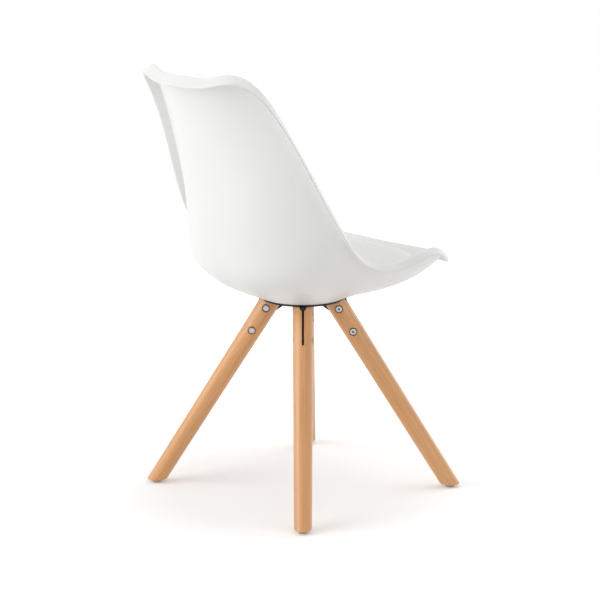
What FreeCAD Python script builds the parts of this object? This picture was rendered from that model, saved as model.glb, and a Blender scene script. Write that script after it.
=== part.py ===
import FreeCAD, Part
import math
import os

# Moulded plastic shell chair with a seat pad, on four bolted beech legs.
# Millimetres and degrees, +Z up. The sitter faces -Y, and left is the sitter's left, at +X.
# The model is drawn round the axis of the bracket plate, and moved at the end so that the
# origin lies on the floor in the middle of the chair's overall width and length.

V = FreeCAD.Vector

# Stand
LEG_TOP_R = 57.45            # bracket axis to each leg's axis, at the plate
LEG_SPLAY = 31.8             # each leg from the vertical
REAR_LEG_ANGLE = 43.0        # rear legs, from straight sideways towards the back
FRONT_LEG_ANGLE = 45.0       # front legs, from straight sideways towards the front
LEG_FOOT_DIA = 32.6          # where the leg's taper reaches the floor
LEG_TAPER_DIA = 7.4          # by how much the leg is thicker a LEG_TAPER_RISE higher up
LEG_TAPER_RISE = 430.0
LEG_END_CHAMFER = 1.5
STAND_HEIGHT = 367.0         # floor to the underside of the bracket plate
LEG_TOP_GAP = 0.3
BLANK_SPARE = 60.0           # how far the leg's blank and its cutters run past it

# Bracket
PLATE_DIA = 154.0
PLATE_THICK = 3.5
PLATE_EDGE_ROUND = 1.0
FIN_THICK = 4.0
FIN_LENGTH = 83.0            # along the leg, from the plate
FIN_EDGE_INSET = 4.0         # fin's edges below the leg's surface
FIN_INNER_R = 15.0           # where the fin's inner edge meets the plate
FIN_GUSSET_DROP = 30.0       # height of the bare gusset inside the leg
RIB_DIA = 12.0               # half-round rib between the plate and the fin
RIB_OUTER_R = 82.0
SLOT_CLEARANCE = 0.2         # each side of the fin
SLOT_END_GAP = 2.0
RIB_CLEARANCE = 0.4

# Leg fasteners, M6
LEG_BOLT_FIRST = 20.0        # along the leg, from the plate to the upper bolt
LEG_BOLT_SPACING = 51.0
M6_DIA = 6.0
M6_HOLE_DIA = 6.6
BOLT_HEAD_DIA = 12.0
BOLT_HEAD_HEIGHT = 5.0
BOLT_HEAD_ROUND = 1.0
HEX_SOCKET_ACROSS = 5.0
HEX_SOCKET_DEPTH = 3.0
NUT_ACROSS = 10.0
NUT_HEIGHT = 5.0
NUT_CHAMFER = 0.7
RECESS_DIA = 16.4
RECESS_LAND = 27.6           # wood left between the two recess floors
BOLT_END_STANDOUT = 0.6      # bolt's end beyond the nut

# Plate screws, M6, between the legs
PLATE_SCREW_CIRCLE_R = 52.0
PLATE_SCREW_HEAD_DIA = 11.0
PLATE_SCREW_HEAD_HEIGHT = 3.3
PLATE_SCREW_SOCKET_DEPTH = 2.3
PLATE_WASHER_DIA = 14.0
PLATE_WASHER_THICK = 1.2
INSERT_DIA = 9.0
INSERT_LENGTH = 11.0
INSERT_RECESS = 0.5
BOSS_DIA = 18.0
BOSS_CAP = 2.5               # plastic over the insert's blind end

# Glides
GLIDE_DIA = 17.0
GLIDE_HEIGHT = 6.0
GLIDE_EDGE_ROUND = 1.5
GLIDE_POCKET_DIA = 7.0
GLIDE_POCKET_DEPTH = 2.4
NAIL_DIA = 2.4
NAIL_HEAD_DIA = 6.0
NAIL_HEAD_HEIGHT = 1.0
NAIL_LENGTH = 19.0

# Shell
SHELL_WALL = 4.0
RIM_ROUND = 6.0              # outside radius of the turned rim
SHELL_BASE_R = 76.0          # flat base on the bracket plate
BASE_FADE = 3.8              # how quickly the flat base runs out into the bowl
RISE_HALF_WIDTH = 200.0      # where the side rise below is measured
SEAT_SIDE_POWER = 4.4        # how late the seat's sides turn up
BACK_SIDE_POWER = 2.4        # how late the back's sides turn forward

# Centre line of the shell's outer face, from the front edge under the seat and up the back:
# y of each station, its height above the shell's base, the side rise there, the turned rim's
# width, its turn past a right angle, and the way the sides rise, where 0 is straight up and 90
# straight forward.
SHELL_STATIONS = [
    (-216.0, 71.5, 32.0, 11.0, 25.0, -37.0),
    (-161.0, 33.5, 47.0, 11.0, 17.0, -16.0),
    (-16.0, 18.5, 58.0, 12.0, 12.0, 6.0),
    (102.0, 33.5, 86.0, 12.0, 13.0, 30.0),
    (180.0, 70.5, 110.0, 13.0, 15.0, 52.0),
    (202.0, 174.5, 94.0, 13.0, 11.0, 73.0),
    (222.0, 308.5, 76.0, 14.0, -11.0, 65.0),
    (285.0, 435.5, 100.0, 18.0, 14.0, 58.0),
]
# Half of the rim's outline, laid flat: distance along the centre line and distance from it.
RIM_OUTLINE = [
    (0.0, 0.0),
    (0.0, 108.0),
    (27.0, 189.0),
    (106.0, 225.0),
    (201.0, 210.0),
    (339.0, 203.0),
    (478.0, 202.0),
    (590.0, 180.0),
    (693.0, 155.0),
    (763.0, 136.0),
    (798.0, 107.0),
    (799.0, 59.0),
    (801.0, 0.0),
]
RING_COUNT = 96              # points round each ring of the shell and pad, a multiple of 4
RIM_SAMPLE_COUNT = 800       # steps along half the rim's outline

# Seat pad
PAD_GAP = 0.3                # between the pad's pieces, and from the pad to the shell
PAD_FRONT = 14.0             # front end of the pad along the centre line
PAD_BACK = 350.0
PAD_HALF_WIDTH = 196.0
PAD_CORNER_POWER = 3.2       # 2 is an ellipse, and more is squarer
PAD_BOARD_THICK = 3.0
PAD_BOARD_INSET = 6.0
PAD_HEIGHT = 44.0            # crown of the cover above the shell
PAD_CROWN_POWER = 2.4
PAD_SIDE_POWER = 2.2
PAD_SIDE_RISE = 8.0          # height of the pad's widest line over its lower edge
PAD_TUCK = 9.0               # how far the lower edge is drawn in
COVER_THICK = 2.0            # leatherette and its fleece
PAD_CENTRE_SHARE = 0.06      # share of the pad closed by a flat disc

# Derived places
SHELL_BASE_Z = STAND_HEIGHT + PLATE_THICK
SPLAY = math.radians(LEG_SPLAY)
FOOT_CIRCLE_R = LEG_TOP_R + STAND_HEIGHT * math.tan(SPLAY)
INSERT_TOP_Z = SHELL_BASE_Z + INSERT_RECESS + INSERT_LENGTH
BOSS_TOP_Z = INSERT_TOP_Z + BOSS_CAP
CORNERS = {"front_left": -FRONT_LEG_ANGLE, "rear_left": REAR_LEG_ANGLE,
           "rear_right": 180 - REAR_LEG_ANGLE, "front_right": 180 + FRONT_LEG_ANGLE}
SCREW_PLACES = {"left": 0.0, "rear": 90.0, "right": 180.0, "front": 270.0}


# Curves and smooth faces

def smooth_function(knots, values, flat_ends=False):
    """Cubic function through the values, with free ends or with no slope at its ends."""
    n = len(knots)
    step = [knots[i + 1] - knots[i] for i in range(n - 1)]
    slope = [(values[i + 1] - values[i]) / step[i] for i in range(n - 1)]
    low, mid, high, right = [0.0] * n, [1.0] * n, [0.0] * n, [0.0] * n
    for i in range(1, n - 1):
        low[i], mid[i], high[i] = step[i - 1], 2 * (step[i - 1] + step[i]), step[i]
        right[i] = 6 * (slope[i] - slope[i - 1])
    if flat_ends:
        mid[0], high[0], right[0] = 2 * step[0], step[0], 6 * slope[0]
        low[-1], mid[-1], right[-1] = step[-1], 2 * step[-1], -6 * slope[-1]
    for i in range(1, n):
        ratio = low[i] / mid[i - 1]
        mid[i] -= ratio * high[i - 1]
        right[i] -= ratio * right[i - 1]
    bend = [0.0] * n
    bend[-1] = right[-1] / mid[-1]
    for i in range(n - 2, -1, -1):
        bend[i] = (right[i] - high[i] * bend[i + 1]) / mid[i]

    def value(x):
        i = 0
        while i < n - 2 and x > knots[i + 1]:
            i += 1
        a, b, h = knots[i + 1] - x, x - knots[i], step[i]
        cubic = (bend[i] * a ** 3 + bend[i + 1] * b ** 3) / (6 * h)
        return cubic + (values[i] / h - bend[i] * h / 6) * a + (values[i + 1] / h - bend[i + 1] * h / 6) * b

    return value


def travel(points, power=1.0):
    """Distance gone at each point, each step raised to a power."""
    total = [0.0]
    for a, b in zip(points, points[1:]):
        total.append(total[-1] + math.dist(a, b) ** power)
    return total


def blend(a, b, t):
    return tuple(p + (q - p) * t for p, q in zip(a, b))


def unit(v):
    size = math.sqrt(sum(c * c for c in v))
    return tuple(c / size for c in v)


def cross(a, b):
    return (a[1] * b[2] - a[2] * b[1], a[2] * b[0] - a[0] * b[2], a[0] * b[1] - a[1] * b[0])


def along(p, *steps):
    """Point p moved by each (direction, distance)."""
    for direction, distance in steps:
        p = tuple(c + d * distance for c, d in zip(p, direction))
    return p


def ring_from_half(half):
    """Closed ring from the half at +X, which runs from the front middle to the back middle."""
    other = [(-x, y, z) for x, y, z in reversed(half[1:-1])]
    return half + other


def band(rings):
    """Smooth face through closed rings of equal point counts."""
    count = len(rings[0])
    rows = []
    for ring in rings:
        curve = Part.BSplineCurve()
        points = [V(*p) for p in ring]
        curve.interpolate(Points=points, PeriodicFlag=True, Parameters=list(range(count + 1)))
        rows.append(curve.getPoles())
    gaps = [sum(a.distanceToPoint(b) for a, b in zip(r, q)) / count for r, q in zip(rows, rows[1:])]
    places = [0.0]
    for gap in gaps:
        places.append(places[-1] + gap / sum(gaps))
    poles = []
    for column in zip(*rows):
        line = Part.BSplineCurve()
        line.interpolate(Points=list(column), Parameters=places)
        poles.append(line.getPoles())
    face = Part.BSplineSurface()
    face.buildFromPolesMultsKnots(poles, curve.getMultiplicities(), line.getMultiplicities(),
                                  curve.getKnots(), line.getKnots(), True, False,
                                  curve.Degree, line.Degree)
    return face.toShape()


def disc(ring):
    """Flat face inside a closed plane ring."""
    curve = Part.BSplineCurve()
    curve.interpolate(Points=[V(*p) for p in ring], PeriodicFlag=True,
                      Parameters=list(range(len(ring) + 1)))
    return Part.Face(Part.Wire(curve.toShape()))


def solid_from(faces):
    """Closed solid from faces that meet edge to edge."""
    skin = Part.makeCompound(faces)
    skin.sewShape()
    solid = Part.makeSolid(Part.makeShell(skin.Faces))
    if solid.Volume < 0:
        solid.reverse()
    return solid


def cylinder(radius, height, base, axis=V(0, 0, 1)):
    return Part.makeCylinder(radius, height, base, axis)


def hex_prism(across, height, base, axis):
    """Hexagonal prism of a width across flats."""
    corner_r = across / math.sqrt(3)
    points = [V(corner_r * math.cos(k * math.pi / 3), corner_r * math.sin(k * math.pi / 3), 0)
              for k in range(7)]
    prism = Part.Face(Part.makePolygon(points)).extrude(V(0, 0, height))
    prism.Placement = FreeCAD.Placement(base, FreeCAD.Rotation(V(0, 0, 1), axis))
    return prism


# Shell sheet

STATION_AT = travel([station[:2] for station in SHELL_STATIONS])
SHEET_LENGTH = STATION_AT[-1]
LINE_Y, LINE_Z, SIDE_RISE, RIM_WIDTH, RIM_TURN, SIDE_LEAN = [
    smooth_function(STATION_AT, list(column)) for column in zip(*SHELL_STATIONS)]
SEAT_END = STATION_AT[3]     # the seat's cross-section runs to here
BACK_START = STATION_AT[5]   # and the back's starts here
STEP = 0.5                   # for slopes
BACK_RAY_SQUASH = 0.75       # draws the base's rings towards the long back
NEAR_RIM_SHARE = 0.95        # a place just inside the rim


def sheet(s, w):
    """Outer face at a distance s along the centre line and w from it."""
    t = min(1.0, max(0.0, (s - SEAT_END) / (BACK_START - SEAT_END)))
    power = SEAT_SIDE_POWER + (BACK_SIDE_POWER - SEAT_SIDE_POWER) * t * t * (3 - 2 * t)
    rise = SIDE_RISE(s) * (abs(w) / RISE_HALF_WIDTH) ** power
    lean = math.radians(SIDE_LEAN(s))
    return (w, LINE_Y(s) - math.sin(lean) * rise, SHELL_BASE_Z + LINE_Z(s) + math.cos(lean) * rise)


def outward(s, w):
    """Direction away from the sitter, square to the sheet."""
    along_line = [a - b for a, b in zip(sheet(s + STEP, w), sheet(s - STEP, w))]
    across = [a - b for a, b in zip(sheet(s, w + STEP), sheet(s, w - STEP))]
    return unit(cross(along_line, across))


def sheet_point(s, w, depth):
    """Point at a depth inside the outer face, towards the sitter."""
    return along(sheet(s, w), (outward(s, w), -depth))


def centre_over_base():
    """Distance along the centre line that lies over the bracket's axis."""
    low, high = 0.0, STATION_AT[4]
    while high - low > 1e-6:
        middle = (low + high) / 2
        if LINE_Y(middle) < 0:
            low = middle
        else:
            high = middle
    return low


BASE_S = centre_over_base()


def rim_rays():
    """Even points along half the rim: base angle, base place and rim place on the sheet."""
    points = RIM_OUTLINE[:-1] + [(SHEET_LENGTH, 0.0)]
    knots = travel(points, 0.5)
    place_s = smooth_function(knots, [p[0] for p in points], flat_ends=True)
    place_w = smooth_function(knots, [p[1] for p in points])
    fine = [knots[-1] * k / RIM_SAMPLE_COUNT for k in range(RIM_SAMPLE_COUNT + 1)]
    line = [(place_s(u), place_w(u)) for u in fine]
    gone = travel(line)
    rays = []
    k = 0
    half = RING_COUNT // 2
    for i in range(half + 1):
        wanted = gone[-1] * i / half
        while k < len(gone) - 2 and gone[k + 1] < wanted:
            k += 1
        share = (wanted - gone[k]) / (gone[k + 1] - gone[k])
        s, w = blend(line[k], line[k + 1], share)
        if i in (0, half):
            w = 0.0
        ahead = s - BASE_S
        angle = math.atan2(w, -ahead * (BACK_RAY_SQUASH if ahead > 0 else 1.0))
        base = (BASE_S - SHELL_BASE_R * math.cos(angle), SHELL_BASE_R * math.sin(angle))
        rays.append((angle, base, (s, w)))
    return rays


RAYS = rim_rays()


def shell_point(ray, share, depth):
    """Point on a ray from the flat base, share 0, to the rim, share 1, at a depth in the wall."""
    angle, base, rim = ray
    s, w = blend(base, rim, share)
    point = sheet_point(s, w, depth)
    flat = (SHELL_BASE_R * math.sin(angle), -SHELL_BASE_R * math.cos(angle), SHELL_BASE_Z + depth)
    pull = [a - b for a, b in zip(flat, sheet_point(base[0], base[1], depth))]
    return along(point, (pull, (1 - share) ** BASE_FADE))


def rim_frame(index):
    """Rim point with its outward direction, its direction out of the sheet, width and turn."""
    points = [sheet(*ray[2]) for ray in RAYS]
    s, w = RAYS[index][2]
    before = points[index - 1] if index > 0 else (-points[1][0],) + points[1][1:]
    after = points[index + 1] if index < len(points) - 1 else (-points[-2][0],) + points[-2][1:]
    tangent = unit([b - a for a, b in zip(before, after)])
    out = outward(s, w)
    edge = unit(cross(tangent, out))
    inner = sheet(*blend(RAYS[index][1], RAYS[index][2], NEAR_RIM_SHARE))
    if sum(e * (p - q) for e, p, q in zip(edge, points[index], inner)) < 0:
        edge = tuple(-c for c in edge)
    s = min(SHEET_LENGTH, max(0.0, s))
    return points[index], out, edge, RIM_WIDTH(s), math.radians(RIM_TURN(s))


def rim_rings():
    """Rings over the turned rim: outer bend, lip, and inner bend."""
    bend_shares = (0.0, 0.25, 0.5, 0.75, 1.0)
    bend_in = RIM_ROUND - SHELL_WALL
    outer = [[] for k in bend_shares]
    inner = [[] for k in bend_shares]
    lip = [[], [], []]
    for index in range(len(RAYS)):
        point, out, edge, width, turn = rim_frame(index)
        centre = along(point, (out, bend_in))
        sweep = math.pi / 2 + turn
        for k, share in enumerate(bend_shares):
            angle = sweep * share
            spoke = along((0, 0, 0), (out, -math.cos(angle)), (edge, math.sin(angle)))
            outer[k].append(along(centre, (spoke, RIM_ROUND)))
            inner[k].append(along(centre, (spoke, bend_in)))
        run = along((0, 0, 0), (out, math.sin(sweep)), (edge, math.cos(sweep)))
        face_end = along(outer[-1][-1], (run, width))
        back_end = along(inner[-1][-1], (run, width))
        lip[0].append(face_end)
        lip[1].append(along(blend(face_end, back_end, 0.5), (run, SHELL_WALL / 2)))
        lip[2].append(back_end)
    return [[ring_from_half(half) for half in group] for group in (outer, lip, inner)]


def make_shell():
    """Bowl with a turned rim, a flat base and four bosses for the inserts."""
    shares = (0.0, 0.1, 0.22, 0.36, 0.5, 0.64, 0.78, 0.9, 1.0)

    def rings(depth):
        return [ring_from_half([shell_point(ray, share, depth) for ray in RAYS]) for share in shares]

    inside, outside = rings(SHELL_WALL), rings(0.0)
    outer_bend, lip, inner_bend = rim_rings()
    outer_bend[0], inner_bend[0] = inside[-1], outside[-1]
    shell = solid_from([
        disc(inside[0]), band(inside), band(outer_bend), band([outer_bend[-1], lip[0]]), band(lip),
        band([lip[2], inner_bend[-1]]), band(inner_bend), band(outside), disc(outside[0])])
    for angle in SCREW_PLACES.values():
        x, y = polar(PLATE_SCREW_CIRCLE_R, angle)
        floor_z = SHELL_BASE_Z + SHELL_WALL / 2
        shell = shell.fuse(cylinder(BOSS_DIA / 2, BOSS_TOP_Z - floor_z, V(x, y, floor_z)))
    for angle in SCREW_PLACES.values():
        x, y = polar(PLATE_SCREW_CIRCLE_R, angle)
        shell = shell.cut(cylinder(INSERT_DIA / 2, INSERT_TOP_Z - SHELL_BASE_Z, V(x, y, SHELL_BASE_Z)))
    return shell


# Seat pad

PAD_MIDDLE = (PAD_FRONT + PAD_BACK) / 2
PAD_HALF_LENGTH = (PAD_BACK - PAD_FRONT) / 2


def pad_point(share, angle, depth, inset=0.0):
    """Point over the seat: share 0 is the pad's middle and 1 its outline."""
    c, n = math.cos(angle), math.sin(angle)
    along_line = -math.copysign(abs(c) ** (2 / PAD_CORNER_POWER), c) * (PAD_HALF_LENGTH - inset)
    across = math.copysign(abs(n) ** (2 / PAD_CORNER_POWER), n) * (PAD_HALF_WIDTH - inset)
    if share > PAD_CENTRE_SHARE:
        return sheet_point(PAD_MIDDLE + along_line * share, across * share, depth)
    middle = sheet_point(PAD_MIDDLE, 0.0, depth)
    ahead = sheet_point(PAD_MIDDLE + 1.0, 0.0, depth)
    slope = unit([b - a for a, b in zip(middle, ahead)])
    return along(middle, (slope, along_line * share), ((1.0, 0.0, 0.0), across * share))


def pad_ring(share, depth, inset=0.0):
    half = RING_COUNT // 2
    return ring_from_half([pad_point(share, math.pi * i / half, depth, inset) for i in range(half + 1)])


def pad_rings(low, high, inset):
    """Rings from the tucked lower edge, over the side and up the crown, to the middle."""
    widest = SHELL_WALL + PAD_GAP + PAD_SIDE_RISE
    rings = []
    for k in range(4):
        t = math.pi / 2 * k / 4
        tuck = PAD_TUCK * (1 - math.sin(t))
        rings.append(pad_ring(1.0, widest - (widest - low) * math.cos(t), inset + tuck))
    shares = (0.0, 0.08, 0.18, 0.3, 0.44, 0.6, 0.8)
    for k in shares:
        t = math.pi / 2 * k
        share = math.cos(t) ** (2 / PAD_CROWN_POWER)
        rise = math.sin(t) ** (2 / PAD_SIDE_POWER)
        rings.append(pad_ring(share, widest + (high - widest) * rise, inset))
    rings.append(pad_ring(PAD_CENTRE_SHARE, high, inset))
    return rings


def make_pad():
    """Board, foam and cover, one over the other."""
    board_low = SHELL_WALL + PAD_GAP
    board_high = board_low + PAD_BOARD_THICK
    spread = (PAD_CENTRE_SHARE, 0.3, 0.55, 0.8, 1.0)
    edge = PAD_TUCK + COVER_THICK + PAD_BOARD_INSET
    under = [pad_ring(k, board_low, edge) for k in spread]
    over = [pad_ring(k, board_high, edge) for k in spread]
    board = solid_from([disc(under[0]), band(under), band([under[-1], over[-1]]), band(over), disc(over[0])])

    cover_high = SHELL_WALL + PAD_HEIGHT
    skin = pad_rings(board_low, cover_high, 0.0)
    lining = pad_rings(board_low, cover_high - COVER_THICK, COVER_THICK)
    cover = solid_from([band([skin[0], lining[0]]), band(skin), disc(skin[-1]), band(lining), disc(lining[-1])])

    foam_low = board_high + PAD_GAP
    foam_inset = COVER_THICK + PAD_GAP
    dome = pad_rings(foam_low, cover_high - foam_inset, foam_inset)
    base = [pad_ring(k, foam_low, foam_inset + PAD_TUCK) for k in spread]
    foam = solid_from([disc(base[0]), band(base), band(dome), disc(dome[-1])])
    return board, foam, cover


# Stand

def polar(radius, angle):
    return radius * math.cos(math.radians(angle)), radius * math.sin(math.radians(angle))


def turned(shape, angle):
    """Copy of a shape drawn towards +X, turned about the bracket's axis."""
    copy = shape.copy()
    copy.rotate(V(0, 0, 0), V(0, 0, 1), angle)
    return copy


def leg_place(distance, offset=0.0):
    """Place on the +X leg's axis, at a distance down from the plate, and beside it outwards."""
    down = V(math.sin(SPLAY), 0, -math.cos(SPLAY))
    out = V(math.cos(SPLAY), 0, math.sin(SPLAY))
    return V(LEG_TOP_R, 0, STAND_HEIGHT) + down * distance + out * offset


def leg_radius(z):
    return (LEG_FOOT_DIA + LEG_TAPER_DIA * z / LEG_TAPER_RISE) / 2


def bolt_distances():
    return (LEG_BOLT_FIRST, LEG_BOLT_FIRST + LEG_BOLT_SPACING)


SIDE = V(0, 1, 0)            # the leg bolts' axis, from head to nut


def make_leg():
    """Tapered round leg, cut level at both ends, slotted and bored for the fin."""
    down = leg_place(1.0) - leg_place(0.0)
    top = leg_place(-BLANK_SPARE)
    length = (top.z + BLANK_SPARE) / math.cos(SPLAY)
    foot = top + down * length
    cone = Part.makeCone(leg_radius(top.z), leg_radius(foot.z), length, top, down)
    top_z = STAND_HEIGHT - LEG_TOP_GAP
    reach = FOOT_CIRCLE_R + BLANK_SPARE
    slab = Part.makeBox(reach, 2 * BLANK_SPARE, top_z - GLIDE_HEIGHT, V(0, -BLANK_SPARE, GLIDE_HEIGHT))
    leg = cone.common(slab)
    lower_edges = [e for e in leg.Edges if abs(e.BoundBox.ZMax - GLIDE_HEIGHT) < 1e-3]
    leg = leg.makeChamfer(LEG_END_CHAMFER, lower_edges)
    slot_width = FIN_THICK + 2 * SLOT_CLEARANCE
    slot_length = FIN_LENGTH + SLOT_END_GAP
    slot = Part.makeBox(2 * BLANK_SPARE, slot_width, slot_length + BLANK_SPARE,
                        V(-BLANK_SPARE, -slot_width / 2, 0))
    slot.Placement = FreeCAD.Placement(leg_place(slot_length), FreeCAD.Rotation(V(0, 1, 0), -LEG_SPLAY))
    leg = leg.cut(slot)
    groove_r = RIB_DIA / 2 + RIB_CLEARANCE
    leg = leg.cut(cylinder(groove_r, reach, V(0, 0, STAND_HEIGHT), V(1, 0, 0)))
    for distance in bolt_distances():
        middle = leg_place(distance)
        leg = leg.cut(cylinder(M6_HOLE_DIA / 2, 2 * BLANK_SPARE, middle - SIDE * BLANK_SPARE, SIDE))
        for way in (SIDE, SIDE * -1):
            leg = leg.cut(cylinder(RECESS_DIA / 2, BLANK_SPARE, middle + way * (RECESS_LAND / 2), way))
    nail_z = GLIDE_POCKET_DEPTH + NAIL_LENGTH
    return leg.cut(cylinder(NAIL_DIA / 2, nail_z, V(FOOT_CIRCLE_R - GLIDE_HEIGHT * math.tan(SPLAY), 0, 0)))


def make_fin():
    """Upright fin and its half-round rib, which are welded under the plate."""
    def surface(distance, way):
        z = leg_place(distance).z
        return leg_place(distance, way * (leg_radius(z) - FIN_EDGE_INSET))

    def slide_to(start, target, z):
        share = (z - start.z) / (target.z - start.z)
        return start + (target - start) * share

    inner_low, outer_low = surface(FIN_LENGTH, -1), surface(FIN_LENGTH, 1)
    inner_high = slide_to(inner_low, surface(0.0, -1), STAND_HEIGHT - FIN_GUSSET_DROP)
    outer_high = slide_to(outer_low, surface(0.0, 1), STAND_HEIGHT)
    corner = V(FIN_INNER_R, 0, STAND_HEIGHT)
    outline = Part.makePolygon([corner, outer_high, outer_low, inner_low, inner_high, corner])
    fin = Part.Face(outline).extrude(V(0, FIN_THICK, 0))
    fin.translate(V(0, -FIN_THICK / 2, 0))
    rod = cylinder(RIB_DIA / 2, RIB_OUTER_R - FIN_INNER_R, V(FIN_INNER_R, 0, STAND_HEIGHT), V(1, 0, 0))
    under = Part.makeBox(2 * RIB_OUTER_R, 2 * RIB_DIA, RIB_DIA, V(0, -RIB_DIA, STAND_HEIGHT - RIB_DIA))
    fin = fin.fuse(rod.common(under)).removeSplitter()
    for distance in bolt_distances():
        start = leg_place(distance) - SIDE * FIN_THICK
        fin = fin.cut(cylinder(M6_HOLE_DIA / 2, 2 * FIN_THICK, start, SIDE))
    return fin


def make_plate():
    """Round plate with four screw holes."""
    plate = cylinder(PLATE_DIA / 2, PLATE_THICK, V(0, 0, STAND_HEIGHT))
    lower = [e for e in plate.Edges if abs(e.BoundBox.ZMax - STAND_HEIGHT) < 1e-3 and e.Length > PLATE_DIA]
    plate = plate.makeFillet(PLATE_EDGE_ROUND, lower)
    for angle in SCREW_PLACES.values():
        x, y = polar(PLATE_SCREW_CIRCLE_R, angle)
        plate = plate.cut(cylinder(M6_HOLE_DIA / 2, PLATE_THICK, V(x, y, STAND_HEIGHT)))
    return plate


def screw(head_dia, head_height, socket_depth, shank_length, seat, axis):
    """Round-headed socket screw with its head's underside at seat and its shank along axis."""
    top = seat - axis * head_height
    head = cylinder(head_dia / 2, head_height, top, axis)
    rim = [e for e in head.Edges if e.Curve.TypeId == "Part::GeomCircle"
           and e.Curve.Center.distanceToPoint(top) < 1e-3]
    head = head.makeFillet(BOLT_HEAD_ROUND, rim)
    head = head.cut(hex_prism(HEX_SOCKET_ACROSS, socket_depth, top, axis))
    return head.fuse(cylinder(M6_DIA / 2, shank_length, seat, axis)).removeSplitter()


def make_leg_bolt(distance):
    seat = leg_place(distance) - SIDE * (RECESS_LAND / 2)
    shank = RECESS_LAND + NUT_HEIGHT + BOLT_END_STANDOUT
    return screw(BOLT_HEAD_DIA, BOLT_HEAD_HEIGHT, HEX_SOCKET_DEPTH, shank, seat, SIDE)


def make_leg_nut(distance):
    """Hexagonal nut with chamfered corners."""
    seat = leg_place(distance) + SIDE * (RECESS_LAND / 2)
    nut = hex_prism(NUT_ACROSS, NUT_HEIGHT, seat, SIDE)
    corner_r = NUT_ACROSS / math.sqrt(3)
    turned_blank = cylinder(corner_r, NUT_HEIGHT, seat, SIDE)
    outer = [e for e in turned_blank.Edges if e.Curve.TypeId == "Part::GeomCircle"
             and e.Curve.Center.distanceToPoint(seat + SIDE * NUT_HEIGHT) < 1e-3]
    nut = nut.common(turned_blank.makeChamfer(NUT_CHAMFER, outer))
    return nut.cut(cylinder(M6_DIA / 2, NUT_HEIGHT, seat, SIDE))


def make_plate_screw():
    seat = V(PLATE_SCREW_CIRCLE_R, 0, STAND_HEIGHT - PLATE_WASHER_THICK)
    shank = INSERT_TOP_Z - seat.z - INSERT_RECESS
    return screw(PLATE_SCREW_HEAD_DIA, PLATE_SCREW_HEAD_HEIGHT, PLATE_SCREW_SOCKET_DEPTH, shank, seat,
                 V(0, 0, 1))


def make_plate_washer():
    base = V(PLATE_SCREW_CIRCLE_R, 0, STAND_HEIGHT - PLATE_WASHER_THICK)
    ring = cylinder(PLATE_WASHER_DIA / 2, PLATE_WASHER_THICK, base)
    return ring.cut(cylinder(M6_HOLE_DIA / 2, PLATE_WASHER_THICK, base))


def make_insert():
    base = V(PLATE_SCREW_CIRCLE_R, 0, SHELL_BASE_Z + INSERT_RECESS)
    return cylinder(INSERT_DIA / 2, INSERT_LENGTH, base).cut(cylinder(M6_DIA / 2, INSERT_LENGTH, base))


def make_glide():
    """Plastic foot with a pocket for the nail's head and a hole for the nail."""
    x = FOOT_CIRCLE_R - GLIDE_HEIGHT * math.tan(SPLAY)
    glide = cylinder(GLIDE_DIA / 2, GLIDE_HEIGHT, V(x, 0, 0))
    lower = [e for e in glide.Edges if abs(e.BoundBox.ZMax) < 1e-3 and e.Length > GLIDE_DIA]
    glide = glide.makeFillet(GLIDE_EDGE_ROUND, lower)
    glide = glide.cut(cylinder(GLIDE_POCKET_DIA / 2, GLIDE_POCKET_DEPTH, V(x, 0, 0)))
    return glide.cut(cylinder(NAIL_DIA / 2, GLIDE_HEIGHT, V(x, 0, 0)))


def make_nail():
    x = FOOT_CIRCLE_R - GLIDE_HEIGHT * math.tan(SPLAY)
    head_base = GLIDE_POCKET_DEPTH - NAIL_HEAD_HEIGHT
    head = cylinder(NAIL_HEAD_DIA / 2, NAIL_HEAD_HEIGHT, V(x, 0, head_base))
    return head.fuse(cylinder(NAIL_DIA / 2, NAIL_LENGTH, V(x, 0, GLIDE_POCKET_DEPTH))).removeSplitter()


# Whole chair

def all_parts():
    parts = {"seat_shell": make_shell()}
    parts["seat_pad_board"], parts["seat_pad_foam"], parts["seat_pad_cover"] = make_pad()
    parts["bracket_plate"] = make_plate()
    plate_screw, plate_washer, insert = make_plate_screw(), make_plate_washer(), make_insert()
    for name, angle in SCREW_PLACES.items():
        parts["shell_insert_" + name] = turned(insert, angle)
        parts["plate_screw_" + name] = turned(plate_screw, angle)
        parts["plate_washer_" + name] = turned(plate_washer, angle)
    leg, fin, glide, nail = make_leg(), make_fin(), make_glide(), make_nail()
    rows = dict(zip(("upper", "lower"), bolt_distances()))
    for name, angle in CORNERS.items():
        parts["leg_" + name] = turned(leg, angle)
        parts["bracket_fin_" + name] = turned(fin, angle)
        parts["glide_" + name] = turned(glide, angle)
        parts["glide_nail_" + name] = turned(nail, angle)
        for row, distance in rows.items():
            parts["leg_bolt_" + name + "_" + row] = turned(make_leg_bolt(distance), angle)
            parts["leg_nut_" + name + "_" + row] = turned(make_leg_nut(distance), angle)
    return parts


def length_middle():
    """Y in the middle between the rim's front and its back."""
    ys = [p[1] for group in rim_rings() for ring in group for p in ring]
    return (min(ys) + max(ys)) / 2


os.makedirs("parts", exist_ok=True)
shift = V(0, -length_middle(), 0)
for part_name, part_shape in all_parts().items():
    part_shape.translate(shift)
    part_shape.exportStep("parts/" + part_name + ".step")
    print(part_name, round(part_shape.Volume / 1000, 2), "cm3", part_shape.isValid(), len(part_shape.Solids))
print("moved in y by", round(shift.y, 3))
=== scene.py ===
"""Finish of a moulded shell chair with a seat cushion and splayed beech legs."""
import math

import bmesh
import bpy
from bpy.props import FloatProperty, FloatVectorProperty, IntProperty, PointerProperty
from bpy.types import Operator, Panel, PropertyGroup
from mathutils import Matrix, Vector


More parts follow.
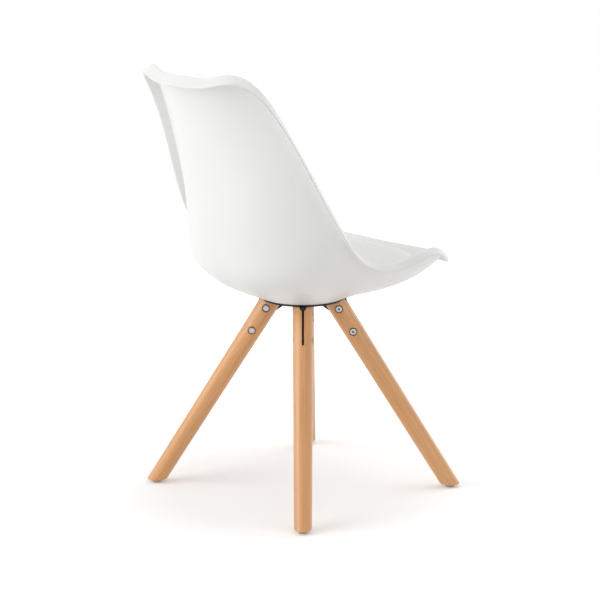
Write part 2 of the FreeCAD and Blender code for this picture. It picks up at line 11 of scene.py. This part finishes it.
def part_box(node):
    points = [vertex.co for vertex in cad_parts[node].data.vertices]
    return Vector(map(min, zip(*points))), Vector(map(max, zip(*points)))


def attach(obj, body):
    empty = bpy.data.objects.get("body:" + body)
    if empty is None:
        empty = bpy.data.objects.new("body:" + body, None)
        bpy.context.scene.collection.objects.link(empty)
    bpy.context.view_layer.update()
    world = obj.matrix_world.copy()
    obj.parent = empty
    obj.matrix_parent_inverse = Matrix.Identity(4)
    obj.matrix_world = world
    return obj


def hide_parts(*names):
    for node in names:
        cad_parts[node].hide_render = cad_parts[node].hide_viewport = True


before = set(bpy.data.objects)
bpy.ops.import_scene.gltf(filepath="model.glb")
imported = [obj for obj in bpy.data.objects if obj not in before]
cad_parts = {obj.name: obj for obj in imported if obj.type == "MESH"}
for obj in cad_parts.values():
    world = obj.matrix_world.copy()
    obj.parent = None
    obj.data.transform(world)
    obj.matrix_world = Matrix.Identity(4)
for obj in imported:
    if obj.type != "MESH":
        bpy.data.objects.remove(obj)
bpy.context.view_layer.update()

bl_info = {
    "name": "Moulded Shell Chair",
    "version": (1, 0, 0),
    "blender": (4, 5, 0),
    "location": "View3D > Sidebar > Chair",
    "description": "Dresses the chair's pieces: shell, cushion, bracket, legs, fasteners and feet",
    "category": "Object",
}

CORNERS = ("front_left", "rear_left", "rear_right", "front_right")
SIDES = ("left", "rear", "right", "front")
BODY = "root"
WHITE = (1.0, 1.0, 1.0, 1.0)

# Texture scales, in cells to the metre
SHELL_CLOUDS = 5.0
SHELL_WAVES = 14.0
SHELL_GLOSS_PATCHES = 30.0
COVER_CLOUDS = 18.0
COVER_PULLS = 22.0
PEEL = 900.0
METAL_CLOUDS = 260.0
METAL_SCRATCHES = (600.0, 600.0, 5200.0)
GLIDE_SCUFFS = 320.0
PLY_GRAIN = (400.0, 22.0, 400.0)

# Relief of the textures, in metres
SHELL_WAVE_DEPTH = 0.0002
COVER_PULL_DEPTH = 0.0009
COVER_CREASE_DEPTH = 0.00012
GRAIN_DEPTH = 0.0001
FLECK_DEPTH = 0.00005
PEEL_DEPTH = 0.00006
SCRATCH_DEPTH = 0.00001
SCUFF_DEPTH = 0.00004
PLY_DEPTH = 0.0001

# Grain of one leg against the next: its turn round the leg and its start along it
GRAIN_TURN = 1.3
GRAIN_FIRST_TURN = 0.5
GRAIN_SHIFT = 0.7

# Other finish values
END_THICKNESS = 0.0005       # how deep a leg's end is read
# Painted shade: metal's colour is darkened within this reach of another surface
PAINTED_SHADE_REACH = 0.005          # how near another surface darkens metal
GLIDE_SCUFF_HEIGHT = 0.003
HELD_NORMAL = -0.35          # the cushion is held where it looks further down than this

# Studio
FLOOR_RADIUS = 3.2
FLOOR_SIDES = 96
SHADOW_CORE = 0.3            # share of the shadow's reach that is lifted least
LAMP_AIM_HEIGHT = 0.45
SENSOR_WIDTH = 36.0
# Each lamp's setting and width, then its place from the bracket: to the camera's left,
# towards the camera and up
LAMPS = (
    ("key", 2.6, 2.9, 0.9, 1.9),
    ("top", 1.6, -0.8, -0.5, 2.8),
    ("fill", 1.6, -2.4, 1.4, 0.7),
    ("rim", 1.8, -2.2, -1.9, 0.8),
)


# Frame readings

def bracket_centre():
    """Point on the floor under the middle of the bracket plate."""
    low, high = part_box("bracket_plate")
    middle = (low + high) / 2
    return Vector((middle.x, middle.y, 0))


def end_centre(node, top):
    """Middle of a leg's top or foot end."""
    points = [v.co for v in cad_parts[node].data.vertices]
    level = max(p.z for p in points) if top else min(p.z for p in points)
    near = [p for p in points if abs(p.z - level) < END_THICKNESS]
    low = Vector((min(p.x for p in near), min(p.y for p in near), level))
    high = Vector((max(p.x for p in near), max(p.y for p in near), level))
    return (low + high) / 2


# Node building

class NodeTree:
    """Short ways to add nodes to a material or a world."""

    def __init__(self, owner):
        owner.use_nodes = True
        self.nodes = owner.node_tree.nodes
        self.links = owner.node_tree.links

    def node(self, kind, inputs=None, **settings):
        node = self.nodes.new("ShaderNode" + kind)
        for name, value in settings.items():
            setattr(node, name, value)
        for name, value in (inputs or {}).items():
            if isinstance(value, bpy.types.NodeSocket):
                self.links.new(value, node.inputs[name])
            else:
                node.inputs[name].default_value = value
        return node

    def maths(self, operation, a, b):
        return self.node("Math", {0: a, 1: b}, operation=operation).outputs[0]

    def seen_directly(self):
        """1 for a ray from the camera, or by way of gloss or glass."""
        path = self.node("LightPath").outputs
        gloss = self.maths("MAXIMUM", path["Is Glossy Ray"], path["Is Transmission Ray"])
        return self.maths("MAXIMUM", path["Is Camera Ray"], gloss)


class Shader(NodeTree):
    """A new material, with its main shader and what the finishes need."""

    def __init__(self, name):
        self.material = bpy.data.materials.new(name)
        super().__init__(self.material)
        self.bsdf = self.nodes["Principled BSDF"]
        self.coords = self.nodes.new("ShaderNodeTexCoord").outputs["Object"]

    def set(self, **values):
        """Sets the main shader's sockets, with _ for a space in a socket's name."""
        for name, value in values.items():
            self.bsdf.inputs[name.replace("_", " ")].default_value = value

    def drive(self, socket, source):
        self.links.new(source, self.bsdf.inputs[socket])

    def stretched(self, scale, rotation=(0, 0, 0), location=(0, 0, 0)):
        """Texture place, turned and moved first and then scaled."""
        turned = self.node("Mapping", {"Vector": self.coords, "Rotation": rotation, "Location": location})
        return self.node("Mapping", {"Vector": turned.outputs[0], "Scale": scale}).outputs[0]

    def noise(self, place, scale, detail=2.0, roughness=0.5, distortion=0.0):
        inputs = {"Vector": place, "Scale": scale, "Detail": detail, "Roughness": roughness,
                  "Distortion": distortion}
        return self.node("TexNoise", inputs).outputs["Fac"]

    def cells(self, place, scale, feature="F1"):
        inputs = {"Vector": place, "Scale": scale}
        return self.node("TexVoronoi", inputs, feature=feature).outputs["Distance"]

    def ramp(self, value, low, high, low_out=0.0, high_out=1.0):
        """Value spread from one range to another, and held at its ends."""
        inputs = {"Value": value, "From Min": low, "From Max": high, "To Min": low_out, "To Max": high_out}
        return self.node("MapRange", inputs, clamp=True).outputs["Result"]

    def mix(self, share, first, second):
        """Blend of two colours, where each is a value or a socket."""
        node = self.node("Mix", data_type="RGBA")
        for index, value in ((0, share), (6, first), (7, second)):
            if isinstance(value, bpy.types.NodeSocket):
                self.links.new(value, node.inputs[index])
            else:
                node.inputs[index].default_value = value if index == 0 else rgba(value)
        return node.outputs[2]

    def bump(self, height, distance, strength=1.0, below=None):
        """Relief of a height, over a normal that is already bumped."""
        inputs = {"Height": height, "Distance": distance, "Strength": strength}
        if below is not None:
            inputs["Normal"] = below
        return self.node("Bump", inputs).outputs[0]


def rgba(colour):
    return (*colour[:3], 1.0)


def shade(colour, share):
    """Colour taken to a share of its brightness."""
    return [c * share for c in colour]


def dress(node_names, material):
    """Puts a material on carried-over pieces."""
    for name in node_names:
        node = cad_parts[name]
        node.data.materials.clear()
        node.data.materials.append(material)


# Settings

def colour_property(name, description, default):
    return FloatVectorProperty(name=name, description=description, default=default, size=3,
                               min=0.0, max=1.0, subtype="COLOR")


def length_property(name, description, default):
    return FloatProperty(name=name, description=description, default=default, min=0.0,
                         subtype="DISTANCE", unit="LENGTH", precision=5)


class ShellSettings(PropertyGroup):
    colour: colour_property("Plastic", "Colour of the moulded shell", (0.86, 0.86, 0.845))
    gloss_roughness: FloatProperty(name="Roughness", description="Roughness of the satin plastic",
                                   default=0.42, min=0.0, max=1.0, subtype="FACTOR")
    texture_size: length_property("Mould texture", "Spacing of the fine mould texture", 0.0012)
    texture_depth: length_property("Texture depth", "Height of the fine mould texture", 0.00003)


class CushionSettings(PropertyGroup):
    colour: colour_property("Leatherette", "Colour of the cushion's cover", (0.90, 0.90, 0.885))
    board: colour_property("Board", "Raw plywood under the foam", (0.55, 0.40, 0.25))
    grain_size: length_property("Grain", "Size of the leatherette's grain", 0.0016)
    voxel: length_property("Voxel", "Cell of the mesh that the cushion is inflated from", 0.006)
    puff: length_property("Puff", "Most that the cushion swells", 0.0016)
    pressure: FloatProperty(name="Pressure", description="Air pressure that tightens the cover",
                            default=4.0, min=0.0)
    frames: IntProperty(name="Frames", description="Length of the cushion's simulation", default=20, min=2)


class WoodSettings(PropertyGroup):
    light: colour_property("Light wood", "Early wood of the beech legs", (0.80, 0.43, 0.165))
    dark: colour_property("Dark wood", "Late wood of the beech legs", (0.68, 0.30, 0.095))
    fleck: colour_property("Fleck", "Short rays in the beech", (0.48, 0.20, 0.065))
    grain_width: length_property("Grain width", "Width of one grain line", 0.0028)
    fleck_width: length_property("Fleck width", "Width of one ray fleck", 0.0009)
    gloss_roughness: FloatProperty(name="Roughness", description="Roughness of the matt lacquer",
                                   default=0.48, min=0.0, max=1.0, subtype="FACTOR")


class MetalSettings(PropertyGroup):
    paint: colour_property("Bracket paint", "Black powder coat of the bracket", (0.010, 0.010, 0.011))
    zinc: colour_property("Zinc", "Zinc plate of the bolts, nuts and washers", (0.50, 0.51, 0.51))
    brass: colour_property("Brass", "Threaded inserts", (0.72, 0.55, 0.28))


class FootSettings(PropertyGroup):
    colour: colour_property("Glide", "Plastic of the floor glides", (0.50, 0.47, 0.43))


class StageSettings(PropertyGroup):
    azimuth: FloatProperty(name="Azimuth", description="Camera's place round the bracket, from the front",
                           default=math.radians(226.963), subtype="ANGLE", unit="ROTATION")
    distance: length_property("Distance", "Level distance from the bracket to the camera", 4.09541)
    height: length_property("Height", "Camera's height over the floor", 1.31564)
    pan: FloatProperty(name="Pan", description="Camera's turn to its left from the bracket's axis",
                       default=0.00133, subtype="ANGLE", unit="ROTATION")
    tilt: FloatProperty(name="Tilt", description="Camera's tilt below level",
                        default=0.22861, subtype="ANGLE", unit="ROTATION")
    focal_length: FloatProperty(name="Focal length", description="Camera's focal length on a 36 mm sensor",
                                default=134.33, subtype="DISTANCE_CAMERA", unit="CAMERA")
    ambient: FloatProperty(name="Ambient", description="Strength of the even studio light",
                           default=0.56, min=0.0)
    key: FloatProperty(name="Key light", description="Power of the large lamp at the camera's left",
                       default=52.0, min=0.0, unit="POWER")
    top: FloatProperty(name="Top light", description="Power of the lamp over the seat",
                       default=17.0, min=0.0, unit="POWER")
    fill: FloatProperty(name="Fill light", description="Power of the small lamp at the camera's right",
                        default=5.0, min=0.0, unit="POWER")
    rim: FloatProperty(name="Rim light", description="Power of the lamp beyond the chair, at the right",
                       default=9.0, min=0.0, unit="POWER")
    near_lift: FloatProperty(name="Near floor lift", description="White added for the camera under the chair",
                             default=0.2, min=0.0)
    far_lift: FloatProperty(name="Far floor lift", description="White added for the camera round the chair",
                            default=0.60, min=0.0)
    shadow_reach: length_property("Shadow reach", "Distance from the bracket to the all white floor", 0.85)
    floor: colour_property("Floor", "Pale studio floor", (0.90, 0.90, 0.90))


class ChairSettings(PropertyGroup):
    shell: PointerProperty(type=ShellSettings)
    cushion: PointerProperty(type=CushionSettings)
    wood: PointerProperty(type=WoodSettings)
    metal: PointerProperty(type=MetalSettings)
    foot: PointerProperty(type=FootSettings)
    stage: PointerProperty(type=StageSettings)


# Materials

def shell_plastic(settings):
    """Satin moulded plastic with a fine mould texture and faint flow in its colour."""
    shader = Shader("shell_plastic")
    shader.set(Roughness=settings.gloss_roughness, Specular_IOR_Level=0.45)
    cloud = shader.noise(shader.coords, SHELL_CLOUDS, detail=3.0)
    deep = shade(settings.colour, 0.985)
    shader.drive("Base Color", shader.mix(shader.ramp(cloud, 0.35, 0.65), settings.colour, deep))
    texture = shader.noise(shader.coords, 1 / settings.texture_size, detail=2.0)
    wave = shader.noise(shader.coords, SHELL_WAVES, detail=1.0)
    swell = shader.bump(wave, SHELL_WAVE_DEPTH, strength=0.6)
    shader.drive("Normal", shader.bump(texture, settings.texture_depth, below=swell))
    patches = shader.noise(shader.coords, SHELL_GLOSS_PATCHES)
    shader.drive("Roughness", shader.ramp(patches, 0.3, 0.7, settings.gloss_roughness - 0.03,
                                          settings.gloss_roughness + 0.04))
    return shader.material


def leatherette(settings):
    """Soft white leatherette: pebbled grain with creases between the pebbles, painted darker in the creases
    as shade.
    """
    shader = Shader("pad_leatherette")
    shader.set(Specular_IOR_Level=0.4, Coat_Weight=0.06, Coat_Roughness=0.35)
    pebble = shader.cells(shader.coords, 1 / settings.grain_size, feature="DISTANCE_TO_EDGE")
    crease = shader.ramp(pebble, 0.0, 0.22)
    # Painted shade: the creases between the pebbles are darkened in colour
    dark = shade(settings.colour, 0.86)
    tone = shader.mix(shader.noise(shader.coords, COVER_CLOUDS, detail=3.0), settings.colour,
                      shade(settings.colour, 0.97))
    shader.drive("Base Color", shader.mix(crease, dark, tone))
    shader.drive("Roughness", shader.ramp(crease, 0.0, 1.0, 0.62, 0.46))
    pulls = shader.noise(shader.coords, COVER_PULLS, detail=4.0, distortion=0.6)
    pulled = shader.bump(pulls, COVER_PULL_DEPTH, strength=0.35)
    shader.drive("Normal", shader.bump(crease, COVER_CREASE_DEPTH, strength=0.8, below=pulled))
    return shader.material


def beech(settings, corner):
    """Beech with straight grain along the leg, growth bands and short ray flecks."""
    shader = Shader("beech_" + corner)
    foot = end_centre("leg_" + corner, top=False)
    top = end_centre("leg_" + corner, top=True)
    index = CORNERS.index(corner)
    upright = (top - foot).rotation_difference(Vector((0, 0, 1))).to_matrix()
    turn = Matrix.Rotation(GRAIN_TURN * index + GRAIN_FIRST_TURN, 3, "Z") @ upright
    rotation = tuple(turn.to_euler("XYZ"))
    location = tuple(-(turn @ foot))
    location = (location[0], location[1], location[2] + GRAIN_SHIFT * index)

    def place(across, along):
        """Texture place with cells of this width across the leg and along it."""
        return shader.stretched((1 / across, 1 / across, 1 / along), rotation, location)

    width = settings.grain_width
    waver = shader.noise(place(60 * width, 120 * width), 1.0, detail=1.0)
    bands = shader.noise(place(1.6 * width, 60 * width), 1.0, detail=3.0, roughness=0.6, distortion=0.4)
    lines = shader.noise(place(0.28 * width, 26 * width), 1.0, detail=4.0, roughness=0.65)
    broad = shader.ramp(shader.maths("ADD", bands, shader.maths("MULTIPLY", waver, 0.35)), 0.45, 0.85)
    colour = shader.mix(broad, settings.light, settings.dark)
    fine = shader.ramp(lines, 0.38, 0.72, 0.0, 0.55)
    colour = shader.mix(fine, colour, shade(settings.dark, 0.9))
    rays = shader.cells(place(settings.fleck_width, 5.5 * settings.fleck_width), 1.0)
    patches = shader.noise(place(3 * settings.fleck_width, 12 * settings.fleck_width), 1.0)
    sparse = shader.ramp(patches, 0.42, 0.62)
    fleck = shader.maths("MULTIPLY", shader.ramp(rays, 0.16, 0.30, 0.75, 0.0), sparse)
    colour = shader.mix(fleck, colour, settings.fleck)
    shader.drive("Base Color", colour)
    shader.set(Specular_IOR_Level=0.5, Coat_Weight=0.9, Coat_Roughness=0.28, Sheen_Weight=0.22,
               Sheen_Roughness=0.35)
    shader.drive("Roughness", shader.ramp(lines, 0.3, 0.7, settings.gloss_roughness - 0.05,
                                          settings.gloss_roughness + 0.08))
    grain = shader.bump(lines, GRAIN_DEPTH, strength=0.5)
    shader.drive("Normal", shader.bump(fleck, -FLECK_DEPTH, strength=0.6, below=grain))
    return shader.material


def powder_coat(settings):
    """Black powder coat with a fine orange-peel texture."""
    shader = Shader("bracket_black")
    shader.set(Specular_IOR_Level=0.25)
    peel = shader.noise(shader.coords, PEEL)
    shader.drive("Base Color", shader.mix(peel, settings.paint, shade(settings.paint, 1.6)))
    shader.drive("Roughness", shader.ramp(peel, 0.3, 0.7, 0.38, 0.55))
    shader.drive("Normal", shader.bump(peel, PEEL_DEPTH, strength=0.7))
    return shader.material


def plated_metal(name, colour, roughness):
    """Plated or turned metal with faint clouding, fine scratches and shade painted into its colour in corners
    and recesses.
    """
    shader = Shader(name)
    shader.set(Metallic=1.0)
    cloud = shader.noise(shader.coords, METAL_CLOUDS, detail=3.0)
    # Painted shade: the colour is darkened where other surfaces are near, in sockets, recesses and corners
    open_side = shader.node("AmbientOcclusion", {"Distance": PAINTED_SHADE_REACH}, samples=6).outputs["AO"]
    tone = shader.mix(cloud, shade(colour, 0.86), colour)
    shader.drive("Base Color", shader.mix(shader.ramp(open_side, 0.3, 0.9), shade(colour, 0.3), tone))
    scratch = shader.noise(shader.stretched(METAL_SCRATCHES), 1.0, detail=3.0)
    shader.drive("Roughness", shader.ramp(scratch, 0.3, 0.7, roughness - 0.08, roughness + 0.12))
    shader.drive("Normal", shader.bump(scratch, SCRATCH_DEPTH, strength=0.5))
    return shader.material


def glide_plastic(settings):
    """Grey moulded plastic, scuffed where it meets the floor."""
    shader = Shader("glide_plastic")
    wear = shader.noise(shader.coords, GLIDE_SCUFFS, detail=4.0)
    height = shader.node("SeparateXYZ", {"Vector": shader.coords}).outputs["Z"]
    low = shader.ramp(height, 0.0, GLIDE_SCUFF_HEIGHT, 0.5, 0.0)
    scuffed = shader.maths("MULTIPLY", low, wear)
    shader.drive("Base Color", shader.mix(scuffed, settings.colour, shade(settings.colour, 0.5)))
    shader.drive("Roughness", shader.ramp(wear, 0.3, 0.7, 0.45, 0.62))
    shader.drive("Normal", shader.bump(wear, SCUFF_DEPTH, strength=0.5))
    return shader.material


def plywood(settings):
    """Raw plywood face with open grain."""
    shader = Shader("pad_board")
    grain = shader.noise(shader.stretched(PLY_GRAIN), 1.0, detail=4.0)
    shader.drive("Base Color", shader.mix(grain, settings.board, shade(settings.board, 0.7)))
    shader.drive("Roughness", shader.ramp(grain, 0.3, 0.7, 0.6, 0.8))
    shader.drive("Normal", shader.bump(grain, PLY_DEPTH, strength=0.5))
    return shader.material


# Cushion

def cushion_form(settings):
    """Foam's solid as an even, softened mesh, to be inflated to the cover's size."""
    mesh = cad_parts["seat_pad_foam"].data.copy()
    mesh.name = "seat_cushion"
    piece = bpy.data.objects.new("seat_cushion", mesh)
    bpy.context.scene.collection.objects.link(piece)
    remesh = piece.modifiers.new("even", "REMESH")
    remesh.mode = "VOXEL"
    remesh.voxel_size = settings.voxel
    smooth = piece.modifiers.new("soft", "SMOOTH")
    smooth.factor = 0.5
    smooth.iterations = 4
    apply_modifiers(piece)
    return piece


def apply_modifiers(piece):
    """Bakes a piece's modifiers into its mesh."""
    graph = bpy.context.evaluated_depsgraph_get()
    graph.update()
    done = bpy.data.meshes.new_from_object(piece.evaluated_get(graph))
    old = piece.data
    piece.modifiers.clear()
    piece.data = done
    bpy.data.meshes.remove(old)


def swell(piece, settings):
    """Tightens the cover with air pressure, with its underside held and its swell capped."""
    rest = [v.co.copy() for v in piece.data.vertices]
    pinned = [v.index for v in piece.data.vertices if v.normal.z < HELD_NORMAL]
    group = piece.vertex_groups.new(name="held")
    group.add(pinned, 1.0, "REPLACE")
    cloth = piece.modifiers.new("cloth", "CLOTH")
    cloth.settings.use_pressure = True
    cloth.settings.uniform_pressure_force = settings.pressure
    cloth.settings.effector_weights.gravity = 0.0
    cloth.settings.vertex_group_mass = group.name
    cloth.point_cache.frame_end = settings.frames
    for step in range(1, settings.frames + 1):
        bpy.context.scene.frame_set(step)
    apply_modifiers(piece)
    for vertex, start in zip(piece.data.vertices, rest):
        move = vertex.co - start
        if move.length > settings.puff:
            vertex.co = start + move.normalized() * settings.puff
    bpy.context.scene.frame_set(1)
    piece.vertex_groups.clear()


# Operators

def chair(context):
    return context.scene.chair


class CHAIR_OT_shell(Operator):
    """Gives the moulded shell its satin plastic"""
    bl_idname = "chair.shell"
    bl_label = "Finish the shell"

    def execute(self, context):
        dress(["seat_shell"], shell_plastic(chair(context).shell))
        return {"FINISHED"}


class CHAIR_OT_cushion(Operator):
    """Makes the upholstered seat cushion and finishes the board inside it"""
    bl_idname = "chair.cushion"
    bl_label = "Make the cushion"

    def execute(self, context):
        settings = chair(context).cushion
        piece = cushion_form(settings)
        swell(piece, settings)
        finer = piece.modifiers.new("finer", "SUBSURF")
        finer.levels = finer.render_levels = 1
        apply_modifiers(piece)
        piece.data.shade_smooth()
        piece.data.materials.clear()
        piece.data.materials.append(leatherette(settings))
        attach(piece, BODY)
        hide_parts("seat_pad_cover", "seat_pad_foam")
        dress(["seat_pad_board"], plywood(settings))
        return {"FINISHED"}


class CHAIR_OT_bracket(Operator):
    """Paints the bracket's plate and fins"""
    bl_idname = "chair.bracket"
    bl_label = "Paint the bracket"

    def execute(self, context):
        names = ["bracket_plate"] + ["bracket_fin_" + corner for corner in CORNERS]
        dress(names, powder_coat(chair(context).metal))
        return {"FINISHED"}


class CHAIR_OT_legs(Operator):
    """Gives each leg beech grain along its own axis"""
    bl_idname = "chair.legs"
    bl_label = "Finish the legs"

    def execute(self, context):
        for corner in CORNERS:
            dress(["leg_" + corner], beech(chair(context).wood, corner))
        return {"FINISHED"}


class CHAIR_OT_fasteners(Operator):
    """Plates the bolts, nuts, screws, washers and nails, and finishes the inserts"""
    bl_idname = "chair.fasteners"
    bl_label = "Finish the fasteners"

    def execute(self, context):
        settings = chair(context).metal
        names = [kind + corner + row for kind in ("leg_bolt_", "leg_nut_") for corner in CORNERS
                 for row in ("_upper", "_lower")]
        names += [kind + side for kind in ("plate_screw_", "plate_washer_") for side in SIDES]
        names += ["glide_nail_" + corner for corner in CORNERS]
        dress(names, plated_metal("zinc_steel", settings.zinc, 0.34))
        inserts = ["shell_insert_" + side for side in SIDES]
        dress(inserts, plated_metal("insert_brass", settings.brass, 0.3))
        return {"FINISHED"}


class CHAIR_OT_feet(Operator):
    """Finishes the plastic floor glides"""
    bl_idname = "chair.feet"
    bl_label = "Finish the feet"

    def execute(self, context):
        dress(["glide_" + corner for corner in CORNERS], glide_plastic(chair(context).foot))
        return {"FINISHED"}


class CHAIR_OT_stage(Operator):
    """Makes the studio floor, the lamps, the backdrop and the camera"""
    bl_idname = "chair.stage"
    bl_label = "Set the stage"

    def execute(self, context):
        settings = chair(context).stage
        centre = bracket_centre()
        away = Vector((math.sin(settings.azimuth), -math.cos(settings.azimuth), 0))
        make_floor(settings, centre)
        make_world(settings, context.scene)
        make_camera(settings, context.scene, centre, away)
        left = away.cross(Vector((0, 0, 1)))
        for name, width, across, toward, up in LAMPS:
            place = centre + left * across + away * toward + Vector((0, 0, up))
            add_lamp(name + "_lamp", getattr(settings, name), width, place, centre)
        context.scene.view_settings.view_transform = "Standard"
        return {"FINISHED"}


def make_floor(settings, centre):
    """Round floor, clear from below, that shows the camera a lifted white and keeps the shadow."""
    mesh = bpy.data.meshes.new("studio_floor")
    form = bmesh.new()
    bmesh.ops.create_circle(form, cap_ends=True, segments=FLOOR_SIDES, radius=FLOOR_RADIUS,
                              matrix=Matrix.Translation(centre))
    form.to_mesh(mesh)
    form.free()
    floor = bpy.data.objects.new("studio_floor", mesh)
    bpy.context.scene.collection.objects.link(floor)
    shader = Shader("studio_floor")
    shader.set(Base_Color=rgba(settings.floor), Roughness=0.9, Specular_IOR_Level=0.1)
    spread = shader.node("VectorMath", {0: shader.coords, 1: centre}, operation="DISTANCE")
    lift = shader.ramp(spread.outputs["Value"], SHADOW_CORE * settings.shadow_reach, settings.shadow_reach,
                       settings.near_lift, settings.far_lift)
    shader.set(Emission_Color=WHITE)
    shader.drive("Emission Strength", shader.maths("MULTIPLY", shader.seen_directly(), lift))
    clear = shader.node("BsdfTransparent").outputs[0]
    below = shader.node("NewGeometry").outputs["Backfacing"]
    surface = shader.node("MixShader", {0: below, 1: shader.bsdf.outputs[0], 2: clear}).outputs[0]
    shader.links.new(surface, shader.nodes["Material Output"].inputs["Surface"])
    mesh.materials.append(shader.material)


def make_world(settings, scene):
    """Even ambient light, with a white backdrop for the camera."""
    scene.world = bpy.data.worlds.new("studio")
    tree = NodeTree(scene.world)
    tree.nodes.clear()
    ambient = tree.node("Background", {"Color": WHITE, "Strength": settings.ambient}).outputs[0]
    backdrop = tree.node("Background", {"Color": WHITE}).outputs[0]
    surface = tree.node("MixShader", {0: tree.seen_directly(), 1: ambient, 2: backdrop}).outputs[0]
    tree.node("OutputWorld", {"Surface": surface})


def make_camera(settings, scene, centre, away):
    """Camera at the photograph's place, aimed by its pan and tilt."""
    data = bpy.data.cameras.new("camera")
    data.sensor_width = SENSOR_WIDTH
    data.lens = settings.focal_length
    camera = bpy.data.objects.new("camera", data)
    scene.collection.objects.link(camera)
    camera.location = centre + away * settings.distance + Vector((0, 0, settings.height))
    level = Matrix.Rotation(settings.pan, 3, "Z") @ -away
    aim = level * math.cos(settings.tilt) - Vector((0, 0, math.sin(settings.tilt)))
    camera.rotation_euler = aim.to_track_quat("-Z", "Y").to_euler()
    scene.camera = camera


def add_lamp(name, power, width, place, target):
    """Square lamp turned to the chair's seat."""
    data = bpy.data.lights.new(name, "AREA")
    data.energy = power
    data.size = width
    lamp = bpy.data.objects.new(name, data)
    bpy.context.scene.collection.objects.link(lamp)
    lamp.location = place
    aim = target + Vector((0, 0, LAMP_AIM_HEIGHT)) - place
    lamp.rotation_euler = aim.to_track_quat("-Z", "Y").to_euler()


class CHAIR_PT_panel(Panel):
    """Settings and steps of the chair's finish"""
    bl_label = "Shell chair"
    bl_idname = "CHAIR_PT_panel"
    bl_space_type = "VIEW_3D"
    bl_region_type = "UI"
    bl_category = "Chair"

    def draw(self, context):
        for operator, group in STEPS:
            column = self.layout.column()
            column.operator(operator.bl_idname)
            settings = getattr(chair(context), group)
            for name in settings.__annotations__:
                column.prop(settings, name)


STEPS = (
    (CHAIR_OT_shell, "shell"),
    (CHAIR_OT_cushion, "cushion"),
    (CHAIR_OT_bracket, "metal"),
    (CHAIR_OT_legs, "wood"),
    (CHAIR_OT_fasteners, "metal"),
    (CHAIR_OT_feet, "foot"),
    (CHAIR_OT_stage, "stage"),
)
SETTINGS = (ShellSettings, CushionSettings, WoodSettings, MetalSettings, FootSettings, StageSettings,
            ChairSettings)
CLASSES = SETTINGS + tuple(operator for operator, group in STEPS) + (CHAIR_PT_panel,)


def register():
    for cls in CLASSES:
        bpy.utils.register_class(cls)
    bpy.types.Scene.chair = PointerProperty(type=ChairSettings)


def unregister():
    del bpy.types.Scene.chair
    for cls in reversed(CLASSES):
        bpy.utils.unregister_class(cls)


def main():
    register()
    for operator, group in STEPS:
        getattr(bpy.ops.chair, operator.bl_idname.split(".")[1])()


if __name__ == "__main__":
    main()
